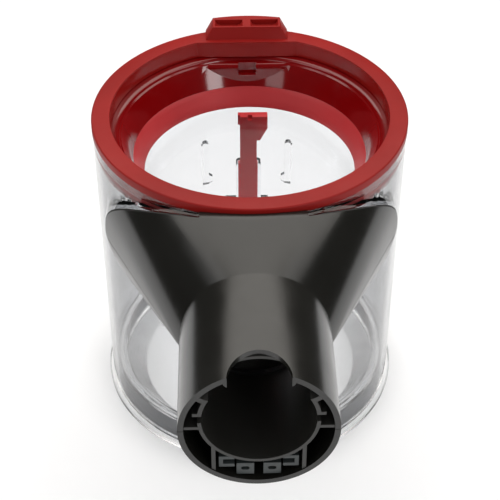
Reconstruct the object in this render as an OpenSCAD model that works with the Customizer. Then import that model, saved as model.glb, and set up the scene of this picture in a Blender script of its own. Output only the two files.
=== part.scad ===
// Dust bin of a bagless canister vacuum cleaner.
// Frame: Z is the bin's axis, the hose duct points along -Y, and the origin is
// the centre of the underside of the base flap. Millimetres.

/* [Bin shell] */
// Outer radius of the clear wall
bin_r = 69.7; // [69:0.1:69.8]
// Thickness of the clear wall
bin_wall = 2; // [1.6:0.1:2.4]

/* [Rim collar] */
// Height of the collar's top above the base
collar_top = 152.4; // [152:0.1:153]
// Outer radius of the collar's flange
collar_r = 70; // [69.9:0.1:70.2]
// Radius of the round opening inside the collar
collar_bore_r = 61.9; // [61.5:0.1:62.2]
// Distance from the axis to the flat stretch at the back of that opening
collar_flat_y = 57.2; // [57:0.1:58]
// Thickness of the collar's flange
flange_h = 4; // [3.6:0.1:4.2]
// Height of the catch block above the collar
catch_h = 6.2; // [5:0.1:6.5]

/* [Filter funnel] */
// Inner radius of the funnel at its ledge
funnel_top_r = 57.3; // [57:0.1:57.6]
// Inner radius of the funnel where the soft lip starts
funnel_low_r = 52.5; // [52:0.1:53]
// Height where the soft lip starts
funnel_low_z = 130.7; // [130:0.1:131.4]
// Radius of the opening in the soft lip
lip_r = 47.8; // [47:0.1:48.5]
// Height of that opening
lip_z = 121.4; // [120.5:0.1:122]

/* [Inlet duct] */
// Outer radius of the hose tube
tube_r = 30.8; // [30.6:0.1:31]
// Thickness of the duct's walls
duct_wall = 2.3; // [2:0.1:2.5]
// Height of the tube's axis
tube_z = 112.2; // [111.8:0.1:112.6]
// Distance from the bin's axis to the mouth of the tube
mouth_reach = 152; // [150:1:156]
// Distance from the bin's axis to where the tube turns into the flare
crease_reach = 98.5; // [98:0.5:100]
// Distance from the bin's axis to where the flare's sides meet the tube
side_reach = 106.5; // [105:0.5:107]
// Half the width of the flare where it meets the bin
rim_half_w = 64; // [63.6:0.1:64.2]
// Radius of the round notch in the top of the tube's mouth
notch_r = 12.1; // [11:0.1:13]

/* [Hose socket] */
// Radius of the hose socket's bore
socket_r = 21.7; // [21.5:0.1:21.8]
// Height of the socket's axis above the tube's axis
socket_lift = 5; // [4.9:0.1:5.1]
// Length of the closed stretch of the socket
socket_len = 34; // [30:1:34]

/* [Base flap] */
// Outer radius of the base flap
flap_r = 71.6; // [71.2:0.1:71.8]
// Thickness of the flap's outer flange
flap_flange_h = 3; // [2.8:0.1:3]
// Radius of the flat floor inside the dished flap
floor_r = 53; // [51:0.5:54]

/* [Emptying mechanism] */
// Radius of the flap's hinge pin
hinge_pin_r = 1.5; // [1.4:0.1:1.6]
// Radius of the latch's pivot pin
latch_pin_r = 1.25; // [1.2:0.05:1.3]

/* [Hidden] */
$fn = 96;
hull_fn = 48;
gap = 0.3;
far = 400;

bin_in_r = bin_r - bin_wall;
flange_z = collar_top - flange_h;
shell_top = flange_z;
shell_low = flap_flange_h + gap;

skirt_in_r = 64.4;
skirt_out_r = 67.5;
skirt_z = 138.5;
bore_wall = 1.8;
bore_wall_z = 144.2;
seal_z = 141;
seal_h = 2;
seal_groove = 1.6;

funnel_wall = 1.8;
ledge_z = bore_wall_z - gap;
ledge_h = 2;
ledge_r = skirt_in_r - 0.2;
key_y = 53.5;
key_z = 142;
key_bend = 2;
key_notch = [8.4, 2.3, 5.6];
lip_wall = 1.8;
lip_cuff_h = 5;
lip_cuff = 1.4;

catch_y = 59.5;
catch_lean = 1.2;
catch_back_r = 71.2;
catch_top_half = 16;
catch_low_half = 19.6;
pocket_size = [13.1, 6, 2.8];
pocket_gap = 3.8;
pocket_slope = 2.6;
pocket_lip = 0.9;

rim_z = 115.5;
rim_up = 34.9;
rim_low = 35.6;
rim_power_up = 2.38;
rim_power_low = 1.8;
rim_steps = 48;
rim_r = 74;
rim_depth = 30;
gasket_h = 0.8;
parting = 0.25;
tongue_half = 22;
tongue_r = collar_r + 0.4;
tongue_z = 148.2;
frame_wall = 2.2;
window_x = [-50, -12];
window_z = [92, 132];

mouth_y = -mouth_reach;
crease_y = -crease_reach;
side_y = -side_reach;
side_rise = 20;
tube_in_r = tube_r - duct_wall;
socket_z = tube_z + socket_lift;
socket_wall = 1.5;
socket_front_y = mouth_y + 0.4;
throat_y = mouth_y + notch_r - 1.1;
throat_end_y = throat_y + socket_len;
socket_flange = 3;
socket_seal_h = 2;
socket_seal_r = socket_r - 1;
rib_z = tube_z + 1.15;
rib_w = 1.6;
post_x = 17.4;
lug_x = 12.8;
lug_drop = 5.4;
rail_low = 7.4;
rail_high = 15.2;
rail_head = [[18.4, 15.5], [19.9, 13.5], [24.8, 16.8], [23.5, 18.6]];

screw_pos = [37, -76];
screw_r = 1.5;
screw_head_r = 3;
screw_head_h = 2;
screw_head_z = 99;
screw_top_z = 119;
screw_boss_r = 3.6;

guide_wall_r = 32;
guide_wall_t = 1.8;
guide_centre = [-10, -106];

contact_x = 5.2;
contact_size = [6.8, 11, 6.2];
contact_low = tube_z - 26.6;
contact_front_y = mouth_y + 1.6;
contact_slot = [3.3, 1.9];
bracket_size = [6, 8, 5.8];
bracket_x = 12.4;
bracket_low = tube_z - 22.2;

rod_x = 1;
rod_y = 70.2;
rod_t = 2.2;
stem_w = 8.7;
low_w = 10.3;
low_x = 0.75;
head_right = 10.9;
head_z = [86, 100.7];
head_chamfer_z = 93.6;
head_chamfer_x = 7;
head_notch = [0.6, 2.9, 1.9];
stem_low_z = 72;
rod_foot_z = 11.8;
thick_z = [22, 47];
thick_t = 5.4;
spring_slot_w = 5.5;
spring_slot_z = [26.4, 44];
peg_w = 4.4;
peg_z = [27, 29.6];
peg_y = 75.2;
spring_y = 73;
spring_mean_r = 1.95;
spring_wire_r = 0.3;
spring_turns = 6;

guide_x = [-4.6, 6.6];
guide_z = [46, 71.9];
guide_plate_z = [39, 49];
guide_out_y = 74.8;
guide_screw_r = 1;
guide_screw_z = 42;

rail_x = 20.3;
rail_z = [61, 87.3];

hinge_y = -75.2;
hinge_z = 4.2;
knuckle_r = 3;
knuckle_half = 11;
hinge_ear_w = 4;
latch_y = 76;
latch_z = 10;
latch_half = 6;
latch_barrel_r = 2.4;
latch_ear_w = 2.4;
keeper_y = 73.6;
keeper_foot_y = bin_r + 0.4;
keeper_z = [2.5, 4];
hook_z = [0.9, 2.2];
hook_y = [73.9, 78];
hook_arm_t = 2;

// ---- helpers ----

// A ring round the Z axis from one height to another.
module ring(r_out, r_in, z0, z1) {
    difference() {
        translate([0, 0, z0]) cylinder(r = r_out, h = z1 - z0);
        translate([0, 0, z0 - 1]) cylinder(r = r_in, h = z1 - z0 + 2);
    }
}

// A box given by its lowest and highest corners.
module span(low, high) {
    translate(low) cube(high - low);
}

// A cylinder along -Y that starts at y0, on an axis at height z.
module along_y(r, y0, y1, z, x = 0) {
    translate([x, y1, z]) rotate([90, 0, 0]) cylinder(r = r, h = y1 - y0);
}

// A cylinder along X, centred on the middle plane or on x.
module along_x(r, length, y, z, x = 0) {
    translate([x - length / 2, y, z]) rotate([0, 90, 0]) cylinder(r = r, h = length, $fn = 48);
}

// A flat X-Z shape stretched along Y from y0 to y1.
module slab_y(y0, y1) {
    translate([0, y1, 0]) rotate([90, 0, 0]) linear_extrude(y1 - y0) children();
}

// A flat Y-Z shape stretched along X to both sides of the middle plane.
module slab_x(half) {
    translate([-half, 0, 0]) rotate([90, 0, 90]) linear_extrude(2 * half) children();
}

module mirror_copy() {
    children();
    mirror([1, 0, 0]) children();
}

// ---- shapes shared by the duct's pieces ----

function signed_pow(v, p) = sign(v) * pow(abs(v), p);

// Outline of the flare's rim seen from the front, drawn in by inset.
function rim_points(inset) = [
    for (i = [0:rim_steps - 1])
        let (a = i * 360 / rim_steps,
             up = sin(a) >= 0,
             p = 2 / (up ? rim_power_up : rim_power_low),
             h = (up ? rim_up : rim_low) - inset)
        [(rim_half_w - inset) * signed_pow(cos(a), p), rim_z + h * signed_pow(sin(a), p)]
];

module rim_prism(inset) {
    slab_y(-rim_r - 8, -rim_depth) polygon(rim_points(inset));
}

// The band of the rim outline between two radii round the bin's axis.
module rim_band(r_out, r_in, width) {
    intersection() {
        difference() {
            rim_prism(0);
            rim_prism(width);
        }
        ring(r_out, r_in, 0, far);
    }
}

// The flare: the upper half of the tube's section, slanting forward at its sides, blended to the rim.
module flare(inset) {
    side = tube_r - inset - 0.15;
    low = tube_z + inset;
    hull() {
        intersection() {
            translate([0, 0, tube_z]) rotate([90, 0, 0]) cylinder(r = side, h = far, $fn = hull_fn);
            slab_x(far) polygon([
                [side_y, low],
                [crease_y, low + side_rise],
                [crease_y, far],
                [crease_y + 0.2, far],
                [crease_y + 0.2, low]
            ]);
        }
        intersection() {
            rim_prism(inset);
            cylinder(r = rim_r, h = far, $fn = hull_fn * 2);
        }
    }
}

module duct_hollow() {
    difference() {
        union() {
            flare(0);
            along_y(tube_r, mouth_y, -60, tube_z);
        }
        flare(duct_wall);
        along_y(tube_in_r, mouth_y - 1, -50, tube_z);
        cylinder(r = tongue_r, h = far);
        difference() {
            cylinder(r = rim_r, h = far);
            span([-tongue_half, -rim_r - 1, tongue_z], [tongue_half, 0, far]);
        }
    }
}

// Everything above the tube's axis, or everything more than drop below it.
module half_space(up, drop = 0) {
    translate([-far / 2, -far / 2, up ? tube_z : tube_z - drop - far]) cube([far, far, far]);
}

// Columns inside the flare that the closing screws run through.
module screw_columns(r, z0, z1) {
    mirror_copy() translate([screw_pos.x, screw_pos.y, z0]) cylinder(r = r, h = z1 - z0, $fn = 48);
}

// ---- clear bin ----

module bin_shell() {
    color([0.86, 0.88, 0.89, 0.35]) difference() {
        union() {
            ring(bin_r, bin_in_r, shell_low, shell_top);
            intersection() {
                rim_band(rim_r - gasket_h, bin_r - 0.5, frame_wall);
                translate([0, 0, shell_top - 0.3 - far / 2]) cube(far, center = true);
            }
            hinge_ears();
            latch_ears();
            back_rails();
            spring_peg();
        }
        cylinder(r = bin_in_r, h = far);
        span([window_x[0], -far, window_z[0]], [window_x[1], -bin_r / 2, window_z[1]]);
        along_x(hinge_pin_r, far, hinge_y, hinge_z);
        along_x(latch_pin_r, far, latch_y, latch_z);
        mirror_copy() along_y(guide_screw_r, bin_in_r - 3, far, guide_screw_z, 11.4);
    }
}

// Two ears below the duct that carry the flap's hinge pin.
module hinge_ears() {
    ear_x = knuckle_half + gap;
    mirror_copy() {
        along_x(knuckle_r, hinge_ear_w, hinge_y, hinge_z, ear_x + hinge_ear_w / 2);
        span([ear_x, hinge_y, shell_low + 0.1], [ear_x + hinge_ear_w, -bin_in_r + 1.6, hinge_z + knuckle_r]);
        span([ear_x, hinge_y + knuckle_r, hinge_z + 2], [ear_x + hinge_ear_w, -bin_in_r + 1.6, 12]);
    }
}

// Two ears at the back that carry the latch's pin.
module latch_ears() {
    ear_x = latch_half + 1 + gap;
    mirror_copy() {
        along_x(latch_barrel_r + 0.4, latch_ear_w, latch_y, latch_z, ear_x + latch_ear_w / 2);
        span([ear_x, bin_r - 1.4, latch_z - 2.8], [ear_x + latch_ear_w, latch_y, latch_z + 2.8]);
    }
}

// Upright rails on the back wall that steer the bin into the cleaner, each with a foot.
module back_rails() {
    wall_y = 65.2;
    mirror_copy() {
        span([rail_x - 0.4, wall_y, rail_z[0]], [rail_x + 2.9, 69.2, rail_z[1] - 1.6]);
        along_y(1.65, wall_y, 69.2, rail_z[1] - 1.6, rail_x + 1.25);
        slab_y(wall_y, 69) polygon([
            [rail_x - 2.2, rail_z[0] + 1.2],
            [rail_x, rail_z[0]],
            [rail_x, rail_z[0] + 6],
            [rail_x - 2.2, rail_z[0] + 4.4]
        ]);
    }
}

// Peg that the push rod's spring stands on.
module spring_peg() {
    span([low_x - peg_w / 2, bin_r - 1, peg_z[0]], [low_x + peg_w / 2, peg_y, peg_z[1]]);
}

// ---- red collar and funnel ----

module collar_opening(r, z0, z1) {
    intersection() {
        translate([0, 0, z0]) cylinder(r = r, h = z1 - z0);
        span([-far, -far, z0], [far, collar_flat_y, z1]);
    }
}

// Block with sloping ends and a front that leans back.
module catch_block() {
    intersection() {
        slab_y(0, far / 2) polygon([
            [-catch_low_half, collar_top - 1],
            [catch_low_half, collar_top - 1],
            [catch_low_half, collar_top],
            [catch_top_half, collar_top + catch_h],
            [-catch_top_half, collar_top + catch_h],
            [-catch_low_half, collar_top]
        ]);
        slab_x(catch_low_half) polygon([
            [catch_y, collar_top - 1],
            [catch_y, collar_top],
            [catch_y + catch_lean, collar_top + catch_h],
            [far, collar_top + catch_h],
            [far, collar_top - 1]
        ]);
        cylinder(r = catch_back_r, h = far);
    }
}

// One scooped pocket of the catch block, shallower towards its two ends.
module catch_pocket() {
    top = collar_top + catch_h;
    low = top - pocket_size.z;
    x0 = pocket_gap / 2;
    x1 = x0 + pocket_size.x;
    y0 = catch_y + catch_lean + pocket_lip;
    slab_y(y0, y0 + pocket_size.y) polygon([
        [x0, top + 1],
        [x0, top - 0.6],
        [x0 + pocket_slope * 0.4, low + 0.6],
        [x0 + pocket_slope, low],
        [x1 - pocket_slope, low],
        [x1 - pocket_slope * 0.4, low + 0.6],
        [x1, top - 0.6],
        [x1, top + 1]
    ]);
}

module rim_collar() {
    edge = 0.5;
    color([0.70, 0.20, 0.19]) difference() {
        union() {
            rotate_extrude() polygon([
                [collar_bore_r - 5, flange_z],
                [collar_r, flange_z],
                [collar_r, collar_top - edge],
                [collar_r - edge, collar_top],
                [collar_bore_r - 5, collar_top]
            ]);
            translate([0, 0, bore_wall_z]) cylinder(r = collar_bore_r + bore_wall, h = 5);
            ring(skirt_out_r, skirt_in_r, skirt_z, flange_z + 1);
            catch_block();
        }
        difference() {
            collar_opening(collar_bore_r, 0, far);
            translate([0, 0, -1]) cylinder(r = 10, h = 1);
        }
        difference() {
            translate([0, 0, bore_wall_z - 1]) cylinder(r = far, h = 1);
            ring(skirt_out_r, skirt_in_r, 0, far);
        }
        ring(skirt_out_r + 1, skirt_out_r - seal_groove, seal_z, seal_z + seal_h);
        mirror_copy() catch_pocket();
    }
}

module collar_seal() {
    color([0.13, 0.13, 0.13]) ring(bin_in_r, skirt_out_r - seal_groove, seal_z, seal_z + seal_h);
}

// The funnel's wall as a closed profile, with a rounded upper edge.
module funnel_profile() {
    bend = 2.4;
    arc = [for (a = [0:15:75]) [
        funnel_top_r + 0.6 + bend - bend * sin(a),
        ledge_z - bend + bend * cos(a)
    ]];
    polygon(concat(
        [[ledge_r, ledge_z]],
        arc,
        [
            [funnel_top_r, ledge_z - bend],
            [funnel_low_r + 0.6, funnel_low_z + 1.2],
            [funnel_low_r, funnel_low_z],
            [funnel_low_r + funnel_wall, funnel_low_z],
            [funnel_top_r + funnel_wall, ledge_z - bend],
            [ledge_r, ledge_z - ledge_h]
        ]
    ));
}

// Flat wall at the back of the funnel that keys the filter, rounded along its upper edge.
module key_wall() {
    arc = [for (a = [0:15:90]) [key_y + key_bend - key_bend * cos(a), key_z - key_bend + key_bend * sin(a)]];
    intersection() {
        rotate_extrude() polygon([
            [0, funnel_low_z + 1],
            [funnel_low_r + 1.4, funnel_low_z + 1],
            [funnel_top_r + 0.8, key_z - key_bend],
            [funnel_top_r + 2.4, key_z],
            [0, key_z]
        ]);
        slab_x(far / 2) polygon(concat([[key_y, 0]], arc, [[far, key_z], [far, 0]]));
    }
}

module filter_funnel() {
    color([0.48, 0.02, 0.03]) difference() {
        union() {
            rotate_extrude() funnel_profile();
            key_wall();
        }
        span([-key_notch.x / 2, key_y - 1, key_z - key_notch.z], [key_notch.x / 2, key_y + key_notch.y, far]);
    }
}

module funnel_lip() {
    cuff_r = funnel_low_r + funnel_wall;
    slope = (funnel_top_r - funnel_low_r) / (ledge_z - 2.4 - funnel_low_z);
    color([0.71, 0.22, 0.24]) rotate_extrude() polygon([
        [funnel_low_r, funnel_low_z],
        [cuff_r, funnel_low_z],
        [cuff_r + slope * lip_cuff_h, funnel_low_z + lip_cuff_h],
        [cuff_r + slope * lip_cuff_h + lip_cuff, funnel_low_z + lip_cuff_h],
        [cuff_r + lip_cuff, funnel_low_z - 2],
        [lip_r + lip_wall + 0.6, lip_z + 0.6],
        [lip_r + lip_wall, lip_z],
        [lip_r, lip_z],
        [lip_r + 0.5, lip_z + 2]
    ]);
}

// ---- dark inlet duct ----

module duct_upper_shell() {
    color([0.22, 0.22, 0.21]) difference() {
        union() {
            difference() {
                intersection() {
                    duct_hollow();
                    half_space(true);
                }
                translate([0, mouth_y - 0.4, tube_z]) cylinder(r = notch_r, h = far);
            }
            mouth_lugs();
            intersection() {
                screw_columns(screw_boss_r, tube_z, far);
                flare(0.5);
            }
        }
        screw_columns(screw_r, 0, screw_top_z);
    }
}

// Short inward ribs at the two corners of the notch.
module mouth_lugs() {
    intersection() {
        mirror_copy() translate([lug_x, 0, 0]) slab_y(mouth_y, throat_y) polygon([
            [-0.9, tube_z + 28.6 - lug_drop],
            [0.4, tube_z + 28.6 - lug_drop + 1.2],
            [1.6, tube_z + 28.6],
            [-0.9, tube_z + 28.6]
        ]);
        along_y(tube_r - 0.5, mouth_y - 1, 0, tube_z);
    }
}

module duct_lower_shell() {
    color([0.26, 0.26, 0.25]) difference() {
        union() {
            intersection() {
                duct_hollow();
                half_space(false, parting);
            }
            intersection() {
                screw_columns(screw_boss_r, 0, tube_z);
                flare(0.5);
            }
        }
        screw_columns(screw_r, 0, tube_z + 1);
        screw_columns(screw_head_r + 0.2, 0, screw_head_z);
    }
}

module duct_gasket() {
    color([0.1, 0.1, 0.1]) intersection() {
        rim_band(rim_r, rim_r - gasket_h, frame_wall);
        translate([0, 0, tongue_z - 0.2 - far / 2]) cube(far, center = true);
    }
}

module duct_screws() {
    color([0.6, 0.6, 0.62]) mirror_copy() translate([screw_pos.x, screw_pos.y, 0]) {
        translate([0, 0, screw_head_z]) cylinder(r = screw_r, h = screw_top_z - screw_head_z - 1, $fn = 32);
        difference() {
            translate([0, 0, screw_head_z - screw_head_h]) cylinder(r = screw_head_r, h = screw_head_h, $fn = 48);
            for (turn = [0, 90])
                rotate([0, 0, turn])
                    translate([-1.6, -0.35, screw_head_z - screw_head_h - 1]) cube([3.2, 0.7, 2]);
        }
    }
}

// Curved wall that turns the air along the inside of the bin.
module inlet_guide() {
    color([0.18, 0.18, 0.18]) intersection() {
        translate([guide_centre.x, guide_centre.y, 0]) intersection() {
            ring(guide_wall_r + guide_wall_t, guide_wall_r, 90, 140);
            span([4, 3, 0], [far, far, far]);
        }
        flare(duct_wall + 0.05);
        ring(far, rim_r + 1, 0, far);
    }
}

// ---- hose socket ----

module socket_tube(r, y0, y1) {
    along_y(r, y0, y1, socket_z);
}

// A stretch of the socket's wall between two heights above the tube's axis.
module socket_arc(low, high, y0, y1, t) {
    intersection() {
        difference() {
            socket_tube(socket_r + t, y0, y1);
            socket_tube(socket_r, y0 - 1, y1 + 1);
        }
        span([-far, y0, tube_z + low], [far, y1, tube_z + high]);
    }
}

module socket_insert() {
    inside = tube_in_r - 0.05;
    color([0.2, 0.2, 0.2]) union() {
        socket_arc(-far / 2, far, throat_y, throat_end_y, socket_wall);
        socket_arc(-far / 2, 4.1, socket_front_y, throat_y + 1, socket_wall);
        socket_arc(rail_low, rail_high, socket_front_y, throat_y + 1, socket_wall + 0.2);
        intersection() {
            union() {
                mirror_copy() {
                    span([socket_r + 0.9, socket_front_y, rib_z - rib_w / 2],
                         [tube_r, throat_end_y - 4, rib_z + rib_w / 2]);
                    span([post_x - 0.8, socket_front_y, tube_z - tube_r],
                         [post_x + 0.8, throat_end_y - 4, tube_z - 9]);
                    span([socket_r - 0.3, socket_front_y, tube_z + rail_low],
                         [socket_r + 3.3, throat_y + 1, tube_z + rail_low + 1.7]);
                    translate([0, 0, tube_z]) slab_y(socket_front_y, throat_y + 0.6) polygon(rail_head);
                }
            }
            along_y(inside, socket_front_y, throat_end_y, tube_z);
            difference() {
                along_y(far / 2, socket_front_y, throat_end_y, tube_z);
                socket_tube(socket_r, mouth_y - 1, 0);
            }
        }
        difference() {
            along_y(inside, throat_end_y - socket_flange, throat_end_y, tube_z);
            socket_tube(socket_r, mouth_y, 0);
        }
    }
}

module socket_seal() {
    color([0.08, 0.08, 0.08]) difference() {
        socket_tube(socket_r + socket_wall, throat_end_y, throat_end_y + socket_seal_h);
        socket_tube(socket_seal_r, throat_end_y - 1, throat_end_y + socket_seal_h + 1);
    }
}

// An oval hole along Y, centred on x and z.
module oval_hole(x, z, size, y0, y1) {
    half = (size.x - size.y) / 2;
    translate([x, 0, z]) {
        for (side = [-half, half]) translate([side, 0, 0]) along_y_local(size.y / 2, y0, y1);
        span([-half, y0, -size.y / 2], [half, y1, size.y / 2]);
    }
}

module along_y_local(r, y0, y1) {
    translate([0, y1, 0]) rotate([90, 0, 0]) cylinder(r = r, h = y1 - y0, $fn = 32);
}

module contact_holder() {
    back_y = contact_front_y + contact_size.y;
    hole_z = contact_low + contact_size.z / 2 + 0.2;
    color([0.24, 0.26, 0.27]) intersection() {
        difference() {
            union() {
                mirror_copy() {
                    span([contact_x - contact_size.x / 2, contact_front_y, contact_low],
                         [contact_x + contact_size.x / 2, back_y, contact_low + contact_size.z]);
                    span([bracket_x - bracket_size.x / 2, contact_front_y, bracket_low],
                         [bracket_x + bracket_size.x / 2, back_y, bracket_low + bracket_size.z]);
                }
                span([-15.4, back_y - 1.5, contact_low + 1], [15.4, back_y, contact_low + 7]);
            }
            mirror_copy() {
                oval_hole(contact_x, hole_z, contact_slot, contact_front_y - 1, back_y - 2);
                span([bracket_x - bracket_size.x / 2 - 1, contact_front_y - 1, bracket_low + 1.6],
                     [bracket_x + bracket_size.x / 2 - 1.6, back_y - 1.5, bracket_low + bracket_size.z - 1.6]);
            }
        }
        difference() {
            along_y(tube_in_r - 0.05, mouth_y, 0, tube_z);
            socket_tube(socket_r + socket_wall + 0.05, mouth_y - 1, 1);
        }
    }
}

module contact_pins() {
    pin_z = contact_low + contact_size.z / 2 + 0.2;
    back_y = contact_front_y + contact_size.y;
    color([0.78, 0.62, 0.3]) mirror_copy()
        span([contact_x - 1.1, contact_front_y + 2.5, pin_z - 0.4], [contact_x + 1.1, back_y - 2, pin_z + 0.4]);
}

// ---- emptying mechanism ----

// Clear bridge, screwed to the back wall, that the push rod slides through.
module push_rod_guide() {
    slot = 0.35;
    color([0.9, 0.92, 0.93, 0.35]) difference() {
        union() {
            span([guide_x[0] - 1, bin_r, guide_z[0]], [guide_x[1] + 1, guide_out_y, guide_z[1] - 2]);
            span([guide_x[0] + 1, bin_r, guide_z[0]], [guide_x[1] - 1, guide_out_y, guide_z[1]]);
            for (x = [guide_x[0] + 1, guide_x[1] - 1])
                along_y(2, bin_r, guide_out_y, guide_z[1] - 2, x);
            mirror_copy() along_y(3, bin_r - 1.5, bin_r + 2.4, guide_screw_z, 11.4);
            span([-11.4, bin_r - 0.9, guide_plate_z[0]], [11.4, bin_r + 2.4, guide_plate_z[1]]);
        }
        translate([0, 0, -1]) cylinder(r = bin_r, h = far);
        span([low_x - low_w / 2 - slot, 0, 0], [low_x + low_w / 2 + slot, rod_y + rod_t + slot, far]);
        mirror_copy() along_y(guide_screw_r, 0, far, guide_screw_z, 11.4);
    }
}

module guide_screws() {
    color([0.6, 0.6, 0.62]) mirror_copy() {
        along_y(guide_screw_r, bin_in_r - 1, bin_r + 2.4, guide_screw_z, 11.4);
        along_y(guide_screw_r * 2, bin_r + 2.4, bin_r + 3.6, guide_screw_z, 11.4);
    }
}

module push_rod() {
    stem_left = rod_x - stem_w / 2;
    stem_right = rod_x + stem_w / 2;
    low_left = low_x - low_w / 2;
    low_right = low_x + low_w / 2;
    color([0.72, 0.16, 0.17]) difference() {
        union() {
            slab_y(rod_y, rod_y + rod_t) polygon([
                [low_left, rod_foot_z],
                [low_right, rod_foot_z],
                [low_right, stem_low_z],
                [stem_right, stem_low_z],
                [stem_right, head_z[0]],
                [head_chamfer_x, head_z[0]],
                [head_right, head_chamfer_z],
                [head_right, head_z[1]],
                [head_notch[1], head_z[1]],
                [head_notch[1], head_z[1] - head_notch[2]],
                [head_notch[0], head_z[1] - head_notch[2]],
                [head_notch[0], head_z[1]],
                [stem_left, head_z[1]],
                [stem_left, stem_low_z],
                [low_left, stem_low_z]
            ]);
            span([low_left, rod_y, thick_z[0]], [low_right, rod_y + thick_t, thick_z[1] - 2]);
            span([low_left, rod_y + rod_t - 0.2, head_z[1] - 6], [head_right, rod_y + 4.4, head_z[1]]);
        }
        span([low_x - spring_slot_w / 2, 0, spring_slot_z[0]], [low_x + spring_slot_w / 2, far, spring_slot_z[1]]);
    }
}

// Ring of points round the spring's wire at one step of the helix.
function spring_ring(i, steps, z0, z1) = [
    for (k = [0:5])
        let (turn = i / steps * spring_turns * 360,
             r = spring_mean_r + spring_wire_r * cos(k * 60))
        [r * cos(turn), r * sin(turn), z0 + (z1 - z0) * i / steps + spring_wire_r * sin(k * 60)]
];

module push_rod_spring() {
    steps = spring_turns * 16;
    z0 = peg_z[1] + spring_wire_r + 0.02;
    z1 = spring_slot_z[1] - spring_wire_r - 0.02;
    points = [for (i = [0:steps]) each spring_ring(i, steps, z0, z1)];
    sides = [for (i = [0:steps - 1], k = [0:5])
        [i * 6 + k, i * 6 + (k + 1) % 6, (i + 1) * 6 + (k + 1) % 6, (i + 1) * 6 + k]];
    caps = [[5, 4, 3, 2, 1, 0], [for (k = [0:5]) steps * 6 + k]];
    color([0.7, 0.7, 0.72]) translate([low_x, spring_y, 0]) polyhedron(points, concat(sides, caps));
}

module flap_latch() {
    toe_y = 70.9;
    color([0.24, 0.24, 0.24]) difference() {
        union() {
            along_x(latch_barrel_r, 2 * latch_half + 2, latch_y, latch_z);
            span([-latch_half, hook_y[1] - hook_arm_t, hook_z[0]], [latch_half, hook_y[1], latch_z]);
            span([-latch_half, hook_y[0], hook_z[0]], [latch_half, hook_y[1], hook_z[1]]);
            span([rod_x - 4, toe_y, latch_z - 0.5], [rod_x + 4, latch_y, latch_z + 1.5]);
        }
        along_x(latch_pin_r + 0.05, far, latch_y, latch_z);
    }
}

module latch_pin() {
    length = 2 * (latch_half + 1 + gap + latch_ear_w);
    color([0.7, 0.7, 0.72]) along_x(latch_pin_r, length, latch_y, latch_z);
}

module base_flap() {
    wall = 1.8;
    spigot_z = 16;
    color([0.86, 0.88, 0.89, 0.35]) difference() {
        union() {
            rotate_extrude() polygon([
                [0, 0],
                [floor_r + 0.4, 0],
                [floor_r + 2, 0.6],
                [62.8, 12.6],
                [64.2, 13.4],
                [64.6, 3],
                [64.6, 0],
                [flap_r - 0.6, 0],
                [flap_r, 0.6],
                [flap_r, flap_flange_h - 0.6],
                [flap_r - 0.6, flap_flange_h],
                [67.2, flap_flange_h],
                [67.1, 4],
                [66.9, spigot_z - 1],
                [66.3, spigot_z],
                [64.2, spigot_z],
                [62, 14.8],
                [floor_r + 1, 3],
                [floor_r, wall],
                [0, wall]
            ]);
            along_x(knuckle_r, 2 * knuckle_half, hinge_y, hinge_z);
            span([-knuckle_half, hinge_y, hinge_z - knuckle_r], [knuckle_half, -flap_r + 4, flap_flange_h]);
            span([-latch_half, keeper_foot_y, keeper_z[0]], [latch_half, keeper_y, keeper_z[1]]);
            span([-latch_half, keeper_foot_y, flap_flange_h - 1], [latch_half, flap_r + 0.3, keeper_z[1]]);
        }
        along_x(hinge_pin_r + 0.05, far, hinge_y, hinge_z);
        rotate_extrude() polygon([
            [66.2, 4.2],
            [70, 4.2],
            [70, 14.6],
            [65.9, 14.6]
        ]);
    }
}

module base_flap_seal() {
    color([0.6, 0.61, 0.62]) rotate_extrude() polygon([
        [66.2, 4.2],
        [67.35, 4.2],
        [66.95, 14.6],
        [65.9, 14.6]
    ]);
}

module flap_hinge_pin() {
    length = 2 * (knuckle_half + gap + hinge_ear_w);
    color([0.7, 0.7, 0.72]) along_x(hinge_pin_r, length, hinge_y, hinge_z);
}

bin_shell();
rim_collar();
collar_seal();
filter_funnel();
funnel_lip();
duct_upper_shell();
duct_lower_shell();
duct_gasket();
duct_screws();
inlet_guide();
socket_insert();
socket_seal();
contact_holder();
contact_pins();
push_rod_guide();
guide_screws();
push_rod();
push_rod_spring();
flap_latch();
latch_pin();
base_flap();
base_flap_seal();
flap_hinge_pin();
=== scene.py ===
"""Studio scene of a vacuum cleaner's clear dust bin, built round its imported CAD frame."""

import math

import bmesh
import bpy
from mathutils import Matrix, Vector


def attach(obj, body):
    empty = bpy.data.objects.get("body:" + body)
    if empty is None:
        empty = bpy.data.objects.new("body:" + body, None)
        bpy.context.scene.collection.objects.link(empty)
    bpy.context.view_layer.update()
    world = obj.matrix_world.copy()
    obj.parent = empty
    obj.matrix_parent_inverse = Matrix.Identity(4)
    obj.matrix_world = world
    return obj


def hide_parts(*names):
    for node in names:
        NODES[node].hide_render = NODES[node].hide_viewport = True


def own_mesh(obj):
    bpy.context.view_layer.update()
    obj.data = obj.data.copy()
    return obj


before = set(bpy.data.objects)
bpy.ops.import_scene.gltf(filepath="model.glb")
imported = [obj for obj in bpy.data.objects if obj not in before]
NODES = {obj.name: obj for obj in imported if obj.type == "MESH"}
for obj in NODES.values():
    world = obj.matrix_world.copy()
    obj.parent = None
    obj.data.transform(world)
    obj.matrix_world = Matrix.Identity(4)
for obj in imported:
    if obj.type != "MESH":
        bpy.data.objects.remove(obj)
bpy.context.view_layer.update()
MM = 0.001

# ---------------------------------------------------------------- materials

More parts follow.
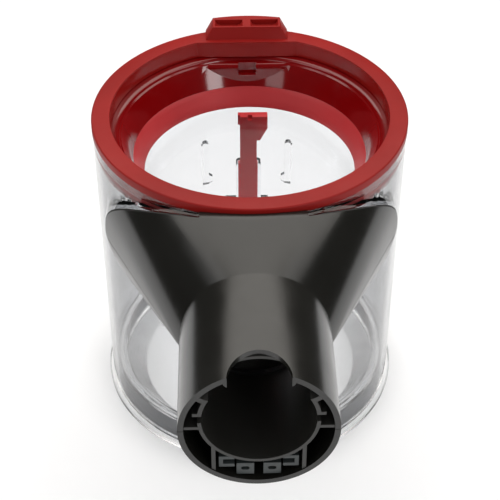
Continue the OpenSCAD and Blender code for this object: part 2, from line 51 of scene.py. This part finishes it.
# Noise scales are in cycles per metre, and depths and distances in metres.
NOISE_SPAN = (0.3, 0.7)
TONE_SPAN = (0.35, 0.7)
TONE_SCALE, TONE_LIFT = 26, 0.002
WIPE_SCALE, WIPE_STRETCH, WIPE_SPAN = 70, (1, 1, 0.35), (0.85, 1.2)
SMEAR_SCALE, SMEAR_STRETCH, SMEAR_SPAN = 55, (1, 1, 0.25), (0.5, 2.5)
RIPPLE_SCALE, RIPPLE_DEPTH = 30, 0.00004
CLEAR_ROUGHNESS, CLEAR_IOR = 0.012, 1.46
SLANT_TONE = 0.42
LINE_SCALE, LINE_DEPTH, LINE_TONE, LINE_SPAN = 900, 0.00001, 0.8, (0.8, 1.3)
UPRIGHT_LINES, LEVEL_LINES = (1, 1, 20), (20, 1, 1)
POLISH_EDGE = 0.0002


def shader(name):
    """A new material, its node tree and its Principled node."""
    mat = bpy.data.materials.new(name)
    mat.use_nodes = True
    tree = mat.node_tree
    return mat, tree, tree.nodes["Principled BSDF"]


def noise(tree, scale, detail, stretch=(1, 1, 1), rough=0.5):
    """A noise value in the object's own space, stretched along its axes."""
    place = tree.nodes.new("ShaderNodeTexCoord")
    mapping = tree.nodes.new("ShaderNodeMapping")
    mapping.inputs["Scale"].default_value = stretch
    tex = tree.nodes.new("ShaderNodeTexNoise")
    tex.inputs["Scale"].default_value = scale
    tex.inputs["Detail"].default_value = detail
    tex.inputs["Roughness"].default_value = rough
    tree.links.new(place.outputs["Object"], mapping.inputs["Vector"])
    tree.links.new(mapping.outputs["Vector"], tex.inputs["Vector"])
    return tex.outputs["Fac"]


def spread(tree, value, low, high, start=NOISE_SPAN[0], end=NOISE_SPAN[1]):
    """Maps a value between start and end to between low and high."""
    node = tree.nodes.new("ShaderNodeMapRange")
    node.inputs["From Min"].default_value = start
    node.inputs["From Max"].default_value = end
    node.inputs["To Min"].default_value = low
    node.inputs["To Max"].default_value = high
    tree.links.new(value, node.inputs["Value"])
    return node.outputs["Result"]


def blend(tree, factor, first, second):
    """A value that goes from first to second as factor goes from 0 to 1."""
    node = tree.nodes.new("ShaderNodeMix")
    for socket, value in (("Factor", factor), ("A", first), ("B", second)):
        if isinstance(value, float):
            node.inputs[socket].default_value = value
        else:
            tree.links.new(value, node.inputs[socket])
    return node.outputs["Result"]


def two_tone(tree, value, first, second):
    """Blends two colours by a value, over the tone span."""
    ramp = tree.nodes.new("ShaderNodeValToRGB")
    for element, colour, position in zip(ramp.color_ramp.elements, (first, second), TONE_SPAN):
        element.color = (*colour, 1)
        element.position = position
    tree.links.new(value, ramp.inputs["Fac"])
    return ramp.outputs["Color"]


def coordinate(tree, space, axis):
    """One axis of a point's place, in one of the texture coordinate's spaces."""
    place = tree.nodes.new("ShaderNodeTexCoord")
    parts = tree.nodes.new("ShaderNodeSeparateXYZ")
    tree.links.new(place.outputs[space], parts.inputs["Vector"])
    return parts.outputs[axis]


def bump(tree, bsdf, value, depth):
    """Raises and sinks the surface by a value from 0 to 1, to a depth."""
    node = tree.nodes.new("ShaderNodeBump")
    node.inputs["Strength"].default_value = 1.0
    node.inputs["Distance"].default_value = depth
    tree.links.new(value, node.inputs["Height"])
    tree.links.new(node.outputs["Normal"], bsdf.inputs["Normal"])


def plastic(name, colour, roughness, grain=2600, depth=0.00002, vary=0.08, spec=0.5):
    """Moulded plastic: fine grain, slow changes of tone, and wiped patches of other roughness."""
    mat, tree, bsdf = shader(name)
    lighter = tuple(min(1, c * (1 + vary) + TONE_LIFT) for c in colour)
    darker = tuple(c * (1 - vary) for c in colour)
    tone = noise(tree, TONE_SCALE, 4)
    tree.links.new(two_tone(tree, tone, darker, lighter), bsdf.inputs["Base Color"])
    wiped = noise(tree, WIPE_SCALE, 6, WIPE_STRETCH, 0.6)
    least, most = (roughness * share for share in WIPE_SPAN)
    tree.links.new(spread(tree, wiped, least, most), bsdf.inputs["Roughness"])
    bump(tree, bsdf, noise(tree, grain, 2), depth)
    bsdf.inputs["Specular IOR Level"].default_value = spec
    return mat


def polish(mat, reach, top, roughness):
    """Makes a satin material glossy within a radius of the Z axis and below a height."""
    tree = mat.node_tree
    bsdf = tree.nodes["Principled BSDF"]
    satin = bsdf.inputs["Roughness"].links[0].from_socket
    place = tree.nodes.new("ShaderNodeTexCoord")
    flat = tree.nodes.new("ShaderNodeVectorMath")
    flat.operation = "MULTIPLY"
    flat.inputs[1].default_value = (1, 1, 0)
    radius = tree.nodes.new("ShaderNodeVectorMath")
    radius.operation = "LENGTH"
    tree.links.new(place.outputs["Object"], flat.inputs[0])
    tree.links.new(flat.outputs[0], radius.inputs[0])
    beyond = spread(tree, radius.outputs["Value"], 0.0, 1.0, reach, reach + POLISH_EDGE)
    above = spread(tree, coordinate(tree, "Object", "Z"), 0.0, 1.0, top, top + POLISH_EDGE)
    outside = tree.nodes.new("ShaderNodeMath")
    outside.operation = "MAXIMUM"
    tree.links.new(beyond, outside.inputs[0])
    tree.links.new(above, outside.inputs[1])
    finish = blend(tree, outside.outputs["Value"], roughness, satin)
    tree.links.new(finish, bsdf.inputs["Roughness"])
    return mat


def clear(name, tint):
    """Polished clear plastic, deeper in tone at a slant, with a slow ripple and faint wipe marks."""
    mat, tree, bsdf = shader(name)
    bsdf.inputs["Transmission Weight"].default_value = 1.0
    bsdf.inputs["IOR"].default_value = CLEAR_IOR
    slant = tree.nodes.new("ShaderNodeLayerWeight")
    slant.inputs["Blend"].default_value = 0.5
    deeper = tuple(c * SLANT_TONE for c in tint)
    tree.links.new(two_tone(tree, slant.outputs["Facing"], tint, deeper), bsdf.inputs["Base Color"])
    smears = noise(tree, SMEAR_SCALE, 6, SMEAR_STRETCH, 0.65)
    least, most = (CLEAR_ROUGHNESS * share for share in SMEAR_SPAN)
    tree.links.new(spread(tree, smears, least, most), bsdf.inputs["Roughness"])
    bump(tree, bsdf, noise(tree, RIPPLE_SCALE, 1), RIPPLE_DEPTH)
    return mat


def metal(name, colour, roughness, stretch=UPRIGHT_LINES):
    """Drawn or turned metal with fine lines."""
    mat, tree, bsdf = shader(name)
    bsdf.inputs["Metallic"].default_value = 1.0
    darker = tuple(c * LINE_TONE for c in colour)
    lines = noise(tree, LINE_SCALE, 3, stretch)
    tree.links.new(two_tone(tree, lines, darker, colour), bsdf.inputs["Base Color"])
    least, most = (roughness * share for share in LINE_SPAN)
    tree.links.new(spread(tree, lines, least, most), bsdf.inputs["Roughness"])
    bump(tree, bsdf, lines, LINE_DEPTH)
    return mat


DARK = (0.0085, 0.0083, 0.0070)
BLACK = (0.012, 0.012, 0.012)
ZINC = (0.6, 0.6, 0.62)
STEEL = (0.62, 0.62, 0.64)
RIM_BORE_R, RIM_FACE_Z = 0.0622, 0.1515
# A plastic's numbers are its roughness, its grain and the grain's depth, how far its tone varies,
# and its specular level. A metal's number is its roughness.
LOOKS = {
    "bin_shell": clear("clear_shell", (0.79, 0.80, 0.815)),
    "base_flap": clear("clear_flap", (0.88, 0.888, 0.896)),
    "push_rod_guide": clear("clear_guide", (0.95, 0.955, 0.965)),
    "rim_collar": polish(
        plastic("satin_red", (0.24, 0.0065, 0.005), 0.40, spec=0.18), RIM_BORE_R, RIM_FACE_Z, 0.1
    ),
    "filter_funnel": plastic("gloss_red", (0.17, 0.0006, 0.0014), 0.10, 900, 0.000004, 0.05, 0.6),
    "funnel_lip": plastic("soft_red", (0.43, 0.027, 0.031), 0.40, 1800, 0.00002, spec=0.4),
    "push_rod": plastic("rod_red", (0.56, 0.015, 0.02), 0.3, spec=0.3),
    "duct_upper_shell": plastic("dark_grey", DARK, 0.20, 3200, 0.000006, 0.06, 0.55),
    "duct_lower_shell": plastic("dark_grey_lower", DARK, 0.22, 3200, 0.000006, 0.06, 0.55),
    "inlet_guide": plastic("dark_grey_guide", (0.02, 0.02, 0.02), 0.4),
    "socket_insert": plastic("dark_grey_insert", (0.017, 0.0165, 0.0145), 0.35),
    "contact_holder": plastic("contact_grey", (0.030, 0.036, 0.037), 0.42),
    "flap_latch": plastic("latch_grey", (0.04, 0.04, 0.04), 0.4),
    "collar_seal": plastic("seal_rubber", (0.30, 0.030, 0.030), 0.5),
    "duct_gasket": plastic("gasket_rubber", BLACK, 0.6),
    "socket_seal": plastic("socket_rubber", BLACK, 0.55),
    "base_flap_seal": plastic("grey_rubber", (0.09, 0.093, 0.10), 0.5, 1500, 0.00003),
    "contact_pins": metal("contact_brass", (0.75, 0.55, 0.25), 0.3),
    "duct_screws": metal("duct_screw_steel", ZINC, 0.32),
    "guide_screws": metal("guide_screw_steel", ZINC, 0.32),
    "push_rod_spring": metal("spring_steel", STEEL, 0.25),
    "latch_pin": metal("latch_pin_steel", STEEL, 0.25, LEVEL_LINES),
    "flap_hinge_pin": metal("hinge_pin_steel", STEEL, 0.25, LEVEL_LINES),
}
CLEAR_NODES = ("bin_shell", "base_flap", "push_rod_guide")
# The rounding of visible edges, in millimetres.
EDGES = {
    "rim_collar": 0.35,
    "funnel_lip": 0.4,
    "socket_insert": 0.2,
    "contact_holder": 0.15,
    "push_rod": 0.25,
    "flap_latch": 0.25,
}
ROUNDED_ABOVE = math.radians(40)
SMOOTH_BELOW = math.radians(20)
WELD_GAP = 0.000003


def soften(obj, width):
    """Rounds an object's sharp edges by a width in millimetres."""
    edge = obj.modifiers.new("soft edges", "BEVEL")
    edge.width = width * MM
    edge.segments = 2
    edge.limit_method = "ANGLE"
    edge.angle_limit = ROUNDED_ABOVE
    edge.use_clamp_overlap = True


def dress(node):
    """Gives a CAD node its material, and smooth shading across its shallow edges."""
    obj = NODES[node]
    obj.data.materials.clear()
    obj.data.materials.append(LOOKS[node])
    for polygon in obj.data.polygons:
        polygon.use_smooth = True
    weld = obj.modifiers.new("weld", "WELD")
    weld.merge_threshold = WELD_GAP
    if node in EDGES:
        soften(obj, EDGES[node])
    split = obj.modifiers.new("sharp edges", "EDGE_SPLIT")
    split.split_angle = SMOOTH_BELOW
    obj.visible_shadow = node not in CLEAR_NODES


for node_name in NODES:
    dress(node_name)

# ---------------------------------------------------------------- meshes

# The distance in metres within which a turned piece's points on its axis are merged.
AXIS_GAP = 0.0000001
SOFT_BELOW = math.radians(12)


def place_mesh(name, mesh):
    """An object for a mesh, linked to the scene."""
    obj = bpy.data.objects.new(name, mesh)
    bpy.context.scene.collection.objects.link(obj)
    return obj


def mesh_from(name, build):
    """An object from a bmesh, with its normals pointing out."""
    bmesh.ops.recalc_face_normals(build, faces=build.faces)
    mesh = bpy.data.meshes.new(name)
    build.to_mesh(mesh)
    build.free()
    return place_mesh(name, mesh)


def hull_of(name, points):
    """The convex hull of a list of points in millimetres."""
    build = bmesh.new()
    for point in points:
        build.verts.new(Vector(point) * MM)
    made = bmesh.ops.convex_hull(build, input=build.verts)
    unused = set(made["geom_interior"] + made["geom_unused"])
    loose = [v for v in unused if isinstance(v, bmesh.types.BMVert)]
    bmesh.ops.delete(build, geom=loose, context="VERTS")
    return mesh_from(name, build)


def prism(name, outline, low, high, place):
    """An outline stretched between two levels, its points placed by a function of (u, v, level)."""
    build = bmesh.new()
    loops = [
        [build.verts.new(Vector(place(u, v, level)) * MM) for u, v in outline] for level in (low, high)
    ]
    count = len(outline)
    for i in range(count):
        j = (i + 1) % count
        build.faces.new((loops[0][i], loops[0][j], loops[1][j], loops[1][i]))
    build.faces.new(reversed(loops[0]))
    build.faces.new(loops[1])
    return mesh_from(name, build)


def circle(radius, steps, centre=(0, 0)):
    """The points of a circle in an outline's plane."""
    return [
        (
            centre[0] + radius * math.cos(math.tau * i / steps),
            centre[1] + radius * math.sin(math.tau * i / steps),
        )
        for i in range(steps)
    ]


def upright(u, v, level):
    """Places an outline drawn from above."""
    return (u, v, level)


def lengthwise(u, v, level):
    """Places an outline drawn from the front."""
    return (u, level, v)


def crosswise(u, v, level):
    """Places an outline drawn from the side."""
    return (level, u, v)


def block(name, low, high):
    """A box between two corners in millimetres."""
    outline = [(low[0], low[1]), (high[0], low[1]), (high[0], high[1]), (low[0], high[1])]
    return prism(name, outline, low[2], high[2], upright)


def lathe(name, profile, steps):
    """A closed outline of (radius, height) points turned round the Z axis."""
    build = bmesh.new()
    rings = []
    for i in range(steps):
        c, s = math.cos(math.tau * i / steps), math.sin(math.tau * i / steps)
        rings.append([build.verts.new(Vector((r * c, r * s, z)) * MM) for r, z in profile])
    for i in range(steps):
        here, following = rings[i], rings[(i + 1) % steps]
        for j in range(len(profile)):
            k = (j + 1) % len(profile)
            build.faces.new((here[j], here[k], following[k], following[j]))
    bmesh.ops.remove_doubles(build, verts=build.verts, dist=AXIS_GAP)
    return mesh_from(name, build)


def node_copy(node):
    """A welded copy of a CAD node's mesh."""
    source = NODES[node]
    build = bmesh.new()
    build.from_mesh(source.data)
    build.transform(source.matrix_world)
    bmesh.ops.remove_doubles(build, verts=build.verts, dist=WELD_GAP)
    return mesh_from(node + "_copy", build)


def combine(target, tool, operation, solver="MANIFOLD"):
    """Joins, cuts or keeps the overlap of target with tool, and removes tool."""
    change = target.modifiers.new("combine", "BOOLEAN")
    change.operation = operation
    change.solver = solver
    change.object = tool
    evaluated = target.evaluated_get(bpy.context.evaluated_depsgraph_get())
    mesh = bpy.data.meshes.new_from_object(evaluated)
    target.modifiers.clear()
    target.data = mesh
    bpy.data.objects.remove(tool)
    return target


def stand_for(obj, node, body, smooth_below=SOFT_BELOW):
    """Lets a detailed piece take a CAD node's place, with its looks."""
    obj.name = node + "_fine"
    obj.data.materials.clear()
    obj.data.materials.append(LOOKS[node])
    for polygon in obj.data.polygons:
        polygon.use_smooth = True
    obj.data.set_sharp_from_angle(angle=smooth_below)
    obj.visible_shadow = node not in CLEAR_NODES
    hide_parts(node)
    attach(obj, body)


# ---------------------------------------------------------------- duct

# All lengths from here to the studio are in millimetres.
TUBE_R = 30.8
TUBE_Z = 112.2
DUCT_WALL = 2.3
MOUTH_Y = -152.0
CREASE_Y = -98.5
SIDE_Y = -106.5
SIDE_RISE = 20.0
NOTCH_R = 12.1
RIM_R = 74.0
RIM_Z = 115.5
RIM_HALF = 64.0
RIM_UP, RIM_LOW = 34.9, 35.6
RIM_POWER_UP, RIM_POWER_LOW = 2.38, 1.8
RIM_DEPTH = 30.0
TONGUE_HALF, TONGUE_R, TONGUE_Z = 22.0, 70.4, 148.2
PARTING = 0.25
TUCK = 0.15
IN_WALL = 0.5
TUBE_END, BORE_END = -60, -50
NOTCH_PROUD = 0.4
LUG_X, LUG_TOP, LUG_DROP, LUG_END = 12.8, 28.6, 5.4, -141.0
LUG_IN, LUG_OUT, LUG_FOOT, LUG_RISE = -0.9, 1.6, 0.4, 1.2
SCREW_POS = (37, -76)
SCREW_BOSS_R, SCREW_R, SCREW_HEAD_R = 3.6, 1.5, 3.2
SCREW_HEAD_Z, SCREW_TOP_Z = 99, 119
FAR = 300.0
BEYOND = 1
FINE = 240


def rim_outline(inset):
    """The flare's rim seen from the front, as (x, z) points at equal turns of its normal."""
    points = []
    half = RIM_HALF - inset
    for i in range(FINE):
        turn = math.tau * i / FINE
        c, s = math.cos(turn), math.sin(turn)
        power = RIM_POWER_UP if s >= 0 else RIM_POWER_LOW
        height = (RIM_UP if s >= 0 else RIM_LOW) - inset
        along = (half * abs(c)) ** (1 / (power - 1))
        up = (height * abs(s)) ** (1 / (power - 1))
        size = (along ** power + up ** power) ** (1 / power)
        x = math.copysign(half * along / size, c)
        z = RIM_Z + math.copysign(height * up / size, s)
        points.append((x, z))
    return points


def flare(name, inset):
    """The blend from the upper half of the tube to the rim, drawn in by inset."""
    points = []
    low = TUBE_Z + inset
    for x, z in circle(TUBE_R - inset - TUCK, FINE, (0, TUBE_Z)):
        if z >= low:
            slant = max(0, 1 - (z - low) / SIDE_RISE)
            points.append((x, CREASE_Y + (SIDE_Y - CREASE_Y) * slant, z))
    for x, z in rim_outline(inset):
        points += [(x, -math.sqrt(RIM_R ** 2 - x ** 2), z), (x, -RIM_DEPTH, z)]
    return hull_of(name, points)


def tube(name, radius, y0, y1):
    """A cylinder round the duct's axis."""
    return prism(name, circle(radius, FINE, (0, TUBE_Z)), y0, y1, lengthwise)


def pillar(name, radius, z0, z1, centre=(0, 0)):
    """An upright cylinder."""
    return prism(name, circle(radius, FINE, centre), z0, z1, upright)


def add_boss(target, x, y):
    """Joins a screw's boss, cut to the flare's inside, to a piece, and bores it from below."""
    boss = pillar("boss", SCREW_BOSS_R, TUBE_Z - RIM_LOW, TUBE_Z + RIM_UP, (x, y))
    combine(target, combine(boss, flare("inside", IN_WALL), "INTERSECT"), "UNION")
    combine(target, pillar("thread", SCREW_R, 0, SCREW_TOP_Z, (x, y)), "DIFFERENCE")
    combine(target, pillar("head", SCREW_HEAD_R, 0, SCREW_HEAD_Z, (x, y)), "DIFFERENCE")


def add_lug(target, side):
    """Joins the short inward rib at one corner of the notch to a piece."""
    top = TUBE_Z + LUG_TOP
    foot = top - LUG_DROP
    outline = [(LUG_IN, foot), (LUG_FOOT, foot + LUG_RISE), (LUG_OUT, top), (LUG_IN, top)]
    shape = [(side * (LUG_X + x), z) for x, z in outline]
    lug = prism("lug", shape, MOUTH_Y, LUG_END, lengthwise)
    combine(lug, tube("round", TUBE_R - IN_WALL, MOUTH_Y - BEYOND, TUBE_END), "INTERSECT")
    combine(target, lug, "UNION")


def fine_duct():
    """The duct's hollow body with its screws' bosses, before it is parted into its two shells."""
    duct = combine(flare("duct", 0), tube("outer", TUBE_R, MOUTH_Y, TUBE_END), "UNION")
    combine(duct, flare("hollow", DUCT_WALL), "DIFFERENCE")
    combine(duct, tube("bore", TUBE_R - DUCT_WALL, MOUTH_Y - BEYOND, BORE_END), "DIFFERENCE")
    combine(duct, pillar("seat", TONGUE_R, 0, FAR), "DIFFERENCE")
    room = pillar("room", RIM_R, 0, FAR)
    tongue = ((-TONGUE_HALF, -RIM_R - BEYOND, TONGUE_Z), (TONGUE_HALF, 0, FAR + BEYOND))
    combine(room, block("tongue", *tongue), "DIFFERENCE")
    combine(duct, room, "DIFFERENCE")
    for side in (-1, 1):
        add_boss(duct, side * SCREW_POS[0], SCREW_POS[1])
    return duct


def finish_duct():
    """Parts the fine duct at the tube's axis, and cuts the notch and its ribs in the upper shell."""
    upper = fine_duct()
    lower = place_mesh("lower", upper.data.copy())
    combine(upper, block("up", (-FAR, -FAR, TUBE_Z), (FAR, FAR, FAR)), "INTERSECT")
    combine(upper, pillar("notch", NOTCH_R, TUBE_Z, FAR, (0, MOUTH_Y - NOTCH_PROUD)), "DIFFERENCE")
    for side in (-1, 1):
        add_lug(upper, side)
    combine(lower, block("down", (-FAR, -FAR, -FAR), (FAR, FAR, TUBE_Z - PARTING)), "INTERSECT")
    stand_for(upper, "duct_upper_shell", "bin")
    stand_for(lower, "duct_lower_shell", "bin")


# ---------------------------------------------------------------- clear pieces

BIN_R, BIN_IN_R = 69.7, 67.7
SHELL_LOW, SHELL_TOP = 3.29, 148.41
FRAME_WALL, GASKET_H = 2.2, 0.8
FRAME_FRONT, FRAME_TOP = 8, 0.3
FRAME_ROOT = 0.5
FRONT_HALF = ((-90, -90, 20), (90, -10, 150))
WINDOW = ((-49.98, -80, 92.02), (-12.02, -30, 131.98))
FLAP_R = 71.6
FLOOR_R = 53
TURNED = 288
LEVELS = 24
# The fine wall is thicker by this much, outside and inside, so that the details' facets stay within it.
OUTER_SKIN, INNER_SKIN = 0.01, 0.05
# The (y, z) of the hinge's axis.
HINGE = (-75.2, 4.2)
KNUCKLE_R, KNUCKLE_HALF, KNUCKLE_SIDES = 3, 11, 96
FOOT_DEPTH, FOOT_TOP = 4, 2.95
PIN_BORE_R = 1.55
KEEPER_HALF = 6
KEEPER = ((-KEEPER_HALF, 70.1, 1.95), (KEEPER_HALF, 71.9, 4))
TOOTH = ((-KEEPER_HALF, 70.2, 2.5), (KEEPER_HALF, 73.6, 3.98))
# The flap's outline as (radius, height), from its middle underneath round to its middle on top.
FLAP_BOTTOM = [(0, 0), (FLOOR_R + 0.4, 0), (FLOOR_R + 2, 0.6), (62.8, 12.6), (64.2, 13.4), (64.6, 3)]
FLAP_FLANGE = [(64.6, 0), (FLAP_R - 0.6, 0), (FLAP_R, 0.6), (FLAP_R, 2.4), (FLAP_R - 0.6, 3), (67.2, 3)]
FLAP_SEAT = [(67.1, 4), (67.1, 4.1), (66.1, 4.1), (65.8, 14.7), (66.9, 14.7), (66.9, 15), (66.3, 16)]
FLAP_TOP = [(64.2, 16), (62, 14.8), (FLOOR_R + 1, 3), (FLOOR_R, 1.8), (0, 1.8)]
SPRING_AT = (0.75, 73.0)
SPRING_ENDS = (29.6, 44.0)
SPRING_R, WIRE_R, WIRE_GAP = 1.95, 0.3, 0.02
WIRE_SMOOTH_BELOW = math.radians(50)
SPRING_TURNS, SPRING_STEPS, WIRE_SIDES = 6, 32, 10


def fine_frame():
    """The raised frame round the window, which the duct's rim is sealed to."""
    front = -RIM_R - FRAME_FRONT
    ring = prism("frame", rim_outline(0), front, -RIM_DEPTH, lengthwise)
    combine(ring, prism("clearing", rim_outline(FRAME_WALL), front - BEYOND, 0, lengthwise), "DIFFERENCE")
    combine(ring, pillar("face", RIM_R - GASKET_H, 0, SHELL_TOP - FRAME_TOP), "INTERSECT")
    return combine(ring, pillar("inside", BIN_R - FRAME_ROOT, 0, FAR), "DIFFERENCE")


def finish_shell():
    """The clear wall and frame, finely made, with the CAD shell's ribs and ears."""
    outer, inner = BIN_R + OUTER_SKIN, BIN_IN_R - INNER_SKIN
    levels = [SHELL_LOW + (SHELL_TOP - SHELL_LOW) * i / LEVELS for i in range(LEVELS + 1)]
    profile = [(outer, z) for z in levels] + [(inner, z) for z in reversed(levels)]
    wall = combine(lathe("wall", profile, TURNED), fine_frame(), "UNION")
    combine(wall, block("window", *WINDOW), "DIFFERENCE")
    details = combine(node_copy("bin_shell"), block("front", *FRONT_HALF), "DIFFERENCE", "EXACT")
    combine(wall, details, "UNION", "EXACT")
    stand_for(wall, "bin_shell", "bin")


def finish_flap():
    """The dished flap, finely turned, with its hinge knuckle and the latch's keeper."""
    dish = lathe("dish", FLAP_BOTTOM + FLAP_FLANGE + FLAP_SEAT + FLAP_TOP, TURNED)
    round_end = circle(KNUCKLE_R, KNUCKLE_SIDES, HINGE)
    knuckle = prism("knuckle", round_end, -KNUCKLE_HALF, KNUCKLE_HALF, crosswise)
    foot_low = (-KNUCKLE_HALF, HINGE[0], HINGE[1] - KNUCKLE_R)
    foot_high = (KNUCKLE_HALF, FOOT_DEPTH - FLAP_R, FOOT_TOP)
    combine(dish, combine(knuckle, block("foot", foot_low, foot_high), "UNION"), "UNION")
    bore = circle(PIN_BORE_R, KNUCKLE_SIDES, HINGE)
    combine(dish, prism("bore", bore, -FLAP_R, FLAP_R, crosswise), "DIFFERENCE")
    combine(dish, block("keeper", *KEEPER), "UNION")
    combine(dish, block("tooth", *TOOTH), "UNION")
    stand_for(dish, "base_flap", "flap")


def finish_spring():
    """The push rod's spring, finely wound, attached to the rod's body."""
    build = bmesh.new()
    low, high = SPRING_ENDS[0] + WIRE_R + WIRE_GAP, SPRING_ENDS[1] - WIRE_R - WIRE_GAP
    count = SPRING_TURNS * SPRING_STEPS
    rings = []
    for i in range(count + 1):
        c, s = math.cos(math.tau * i / SPRING_STEPS), math.sin(math.tau * i / SPRING_STEPS)
        ring = []
        for u, v in circle(WIRE_R, WIRE_SIDES):
            radius = SPRING_R + u
            height = low + (high - low) * i / count + v
            point = (SPRING_AT[0] + radius * c, SPRING_AT[1] + radius * s, height)
            ring.append(build.verts.new(Vector(point) * MM))
        rings.append(ring)
    for here, following in zip(rings, rings[1:]):
        for j in range(WIRE_SIDES):
            k = (j + 1) % WIRE_SIDES
            build.faces.new((here[j], here[k], following[k], following[j]))
    build.faces.new(reversed(rings[0]))
    build.faces.new(rings[-1])
    spring = mesh_from("spring", build)
    stand_for(spring, "push_rod_spring", "rod", WIRE_SMOOTH_BELOW)
    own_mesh(spring)


finish_duct()
finish_shell()
finish_flap()
finish_spring()

# ---------------------------------------------------------------- studio

# Lengths are in metres from here on.
TARGET = Vector((0, 0, 0.0762))
CAMERA_DISTANCE = 0.6379
CAMERA_ELEVATION = math.radians(40.14)
CAMERA_AZIMUTH = math.radians(-1.35)
LENS, SENSOR = 95.84, 36
SHIFT = (0.0007, -0.0155)

TABLE_R, TABLE_SIDES = 0.62, 128
TABLE_DROP = 0.0004
TABLE_ROUGHNESS = 0.9
# Painted shade: the table greys from near white at its front to grey at its back, as a dimmer room for
# gloss to mirror.
TABLE_FADE = (-0.62, 0.72)
TABLE_NEAR = (0.92, 0.93, 0.95)
TABLE_FAR_SHADE = (0.66, 0.675, 0.70)

# How bright the room is to the camera, to diffuse light, to gloss, and through clear plastic
# at the two heights of view in THROUGH_Z.
WORLD_BACKDROP = 1.0
WORLD_FILL = 0.5
WORLD_MIRRORED = 0.035
WORLD_THROUGH = (0.95, 0.30)
THROUGH_Z = (0.1, 0.5)

BOX_AIM = (0, 0, 0.1)
OVERHEAD = (0.2, 0.62, 1.1)
OVERHEAD_SIZE = (2.7, 1.3)
OVERHEAD_RADIANCE = 2.4
WARM = (1.0, 0.96, 0.90)
WHITE = (1, 1, 1)


def make_camera():
    """The scene's camera, turned towards the target from its azimuth and elevation."""
    data = bpy.data.cameras.new("camera")
    data.lens = LENS
    data.sensor_width = SENSOR
    data.shift_x, data.shift_y = SHIFT
    cam = bpy.data.objects.new("camera", data)
    flat = math.cos(CAMERA_ELEVATION)
    back = Vector((
        math.sin(CAMERA_AZIMUTH) * flat,
        -math.cos(CAMERA_AZIMUTH) * flat,
        math.sin(CAMERA_ELEVATION),
    ))
    cam.location = TARGET + back * CAMERA_DISTANCE
    cam.rotation_euler = (-back).to_track_quat("-Z", "Y").to_euler()
    bpy.context.scene.collection.objects.link(cam)
    bpy.context.scene.camera = cam


def soft_box(name, place, aim, size, radiance, colour):
    """A rectangular soft light of a radiance, at a place and turned towards a point."""
    data = bpy.data.lights.new(name, "AREA")
    data.shape = "RECTANGLE"
    data.size, data.size_y = size
    data.energy = radiance * math.pi * size[0] * size[1]
    data.color = colour
    light = bpy.data.objects.new(name, data)
    light.location = place
    light.rotation_euler = (Vector(aim) - Vector(place)).to_track_quat("-Z", "Y").to_euler()
    bpy.context.scene.collection.objects.link(light)


def make_table():
    """A round white table top under the bin, greyed towards its back by painted shade, and clear from
    below.
    """
    mesh = bpy.data.meshes.new("table_top")
    build = bmesh.new()
    bmesh.ops.create_circle(build, cap_ends=True, segments=TABLE_SIDES, radius=TABLE_R)
    build.to_mesh(mesh)
    build.free()
    table = place_mesh("table_top", mesh)
    table.location = (0, 0, -TABLE_DROP)
    mat, tree, bsdf = shader("table_white")
    along = spread(tree, coordinate(tree, "Object", "Y"), 0.0, 1.0, *TABLE_FADE)
    tree.links.new(two_tone(tree, along, TABLE_NEAR, TABLE_FAR_SHADE), bsdf.inputs["Base Color"])
    bsdf.inputs["Roughness"].default_value = TABLE_ROUGHNESS
    bsdf.inputs["Specular IOR Level"].default_value = 0.0
    side = tree.nodes.new("ShaderNodeNewGeometry")
    see_through = tree.nodes.new("ShaderNodeBsdfTransparent")
    mix = tree.nodes.new("ShaderNodeMixShader")
    tree.links.new(side.outputs["Backfacing"], mix.inputs["Fac"])
    tree.links.new(bsdf.outputs["BSDF"], mix.inputs[1])
    tree.links.new(see_through.outputs["BSDF"], mix.inputs[2])
    tree.links.new(mix.outputs["Shader"], tree.nodes["Material Output"].inputs["Surface"])
    mesh.materials.append(mat)


def make_world():
    """A pale room that gloss mirrors as a dark one, and that darkens upwards through clear plastic."""
    world = bpy.data.worlds.new("studio")
    bpy.context.scene.world = world
    world.use_nodes = True
    tree = world.node_tree
    background = tree.nodes["Background"]
    background.inputs["Color"].default_value = (1, 1, 1, 1)
    path = tree.nodes.new("ShaderNodeLightPath")
    through = spread(tree, coordinate(tree, "Generated", "Z"), *WORLD_THROUGH, *THROUGH_Z)
    level = blend(tree, path.outputs["Is Camera Ray"], WORLD_FILL, WORLD_BACKDROP)
    level = blend(tree, path.outputs["Is Glossy Ray"], level, WORLD_MIRRORED)
    level = blend(tree, path.outputs["Is Transmission Ray"], level, through)
    tree.links.new(level, background.inputs["Strength"])


def box_at(name, azimuth, elevation, reach, size, radiance):
    """A soft box seen from the bin at an azimuth from +Y towards +X and an elevation, in degrees."""
    turn, lift = math.radians(azimuth), math.radians(elevation)
    place = Vector(BOX_AIM) + reach * Vector((
        math.sin(turn) * math.cos(lift),
        math.cos(turn) * math.cos(lift),
        math.sin(lift),
    ))
    soft_box(name, place, BOX_AIM, size, radiance, WHITE)


make_camera()
make_table()
make_world()
soft_box("overhead_box", OVERHEAD, (*OVERHEAD[:2], 0), OVERHEAD_SIZE, OVERHEAD_RADIANCE, WARM)
box_at("right_box", 115, 45, 1.1, (0.5, 0.5), 1.6)
box_at("left_box", -115, 45, 1.1, (0.5, 0.5), 1.6)
box_at("front_right_box", 148, 12.5, 1.0, (0.24, 0.34), 6.0)
box_at("front_left_box", -155, 13.5, 1.0, (0.27, 0.28), 1.8)

scene = bpy.context.scene
scene.view_settings.view_transform = "Standard"
scene.cycles.max_bounces = 24
scene.cycles.transmission_bounces = 20
scene.cycles.glossy_bounces = 6
scene.cycles.diffuse_bounces = 3
scene.cycles.transparent_max_bounces = 16
scene.cycles.caustics_reflective = False
scene.cycles.caustics_refractive = True
scene.cycles.sample_clamp_indirect = 4.0
scene.cycles.use_denoising = True
